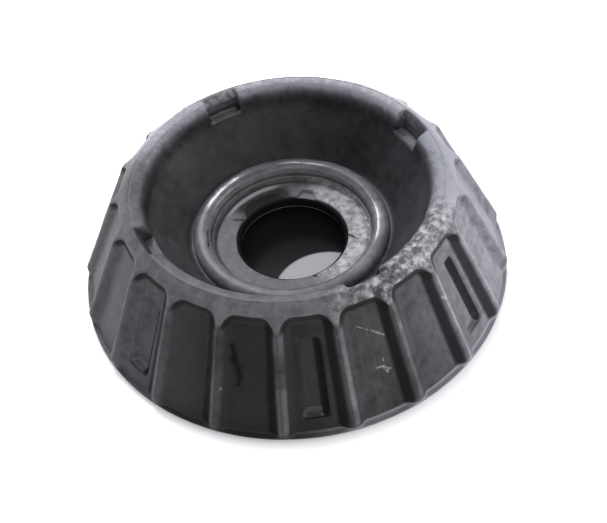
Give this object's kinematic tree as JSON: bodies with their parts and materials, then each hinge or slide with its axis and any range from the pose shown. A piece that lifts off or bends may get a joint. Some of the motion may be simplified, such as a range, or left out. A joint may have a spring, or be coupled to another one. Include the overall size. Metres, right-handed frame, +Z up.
{
  "type": "strut mount",
  "caption": "Strut top mount: a rubber cone with a pocketed flank and a deep bowl, bonded to a pressed steel core with a central through hole and a shallow bearing cup underneath.",
  "frame": {"origin": "on the mount's axis, at the base plane", "axes": "+Z up along the axis, out of the bowl; -Y towards a pocket that has a slot"},
  "size_m": [0.12, 0.12, 0.0328],
  "materials": {
    "rubber": "matt moulded rubber with a dusty bloom",
    "steel": "dull bare pressed steel"
  },
  "bodies": {
    "root": {"rubber_cone": "rubber", "steel_core": "steel"}
  },
  "joints": []
}
